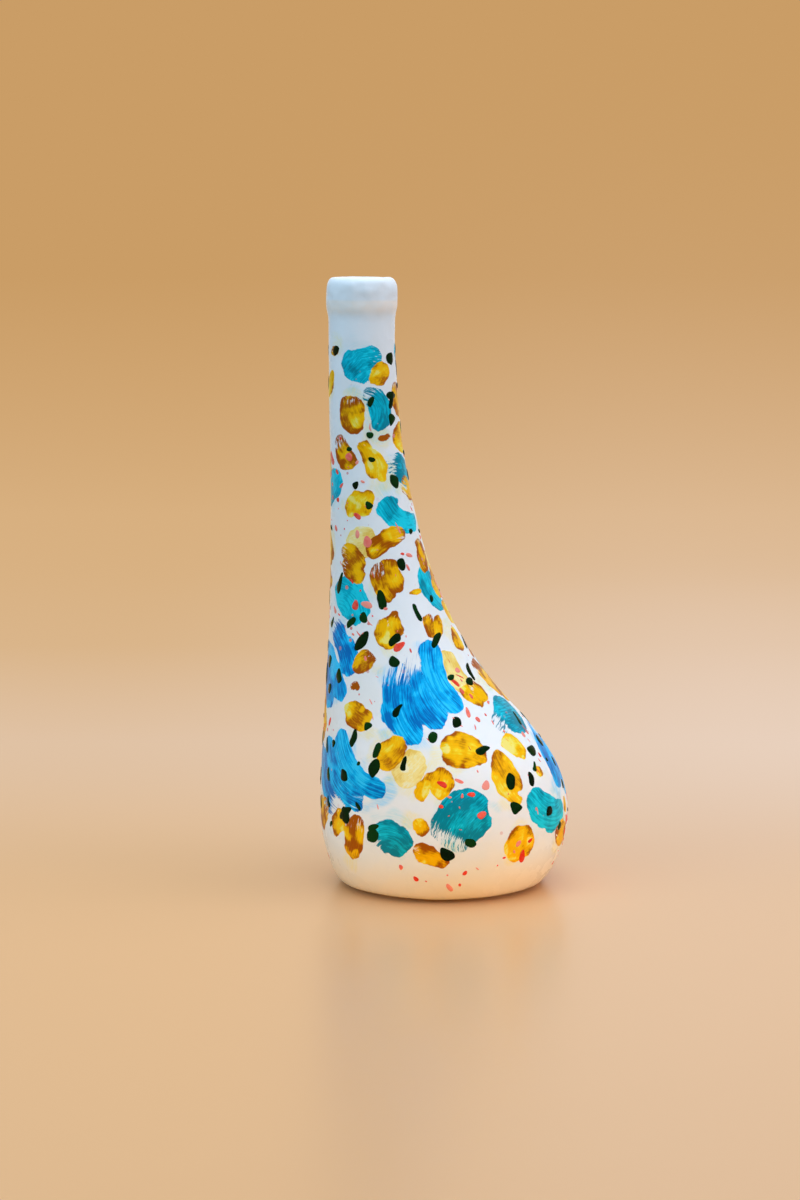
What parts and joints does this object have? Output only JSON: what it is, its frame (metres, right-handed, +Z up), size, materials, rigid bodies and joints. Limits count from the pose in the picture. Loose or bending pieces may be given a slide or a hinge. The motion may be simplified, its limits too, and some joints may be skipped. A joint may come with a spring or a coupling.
{
  "type": "oil cruet",
  "caption": "Tall ceramic oil cruet: a round bottle with its belly pushed forward to one side, a long upright neck, a thick rounded lip and an open mouth.",
  "frame": {"origin": "on the table, under the middle of the belly's widest ring", "axes": "+Z up, +X towards the side that the belly swells to; the neck stands towards -X"},
  "size_m": [0.1152, 0.1152, 0.28],
  "materials": {
    "white_glaze": "gloss",
    "bare_clay": "matte"
  },
  "bodies": {
    "root": {"foot_ring": "bare_clay", "base_slab": "white_glaze", "belly": "white_glaze", "neck": "white_glaze", "lip_collar": "white_glaze"}
  },
  "joints": []
}
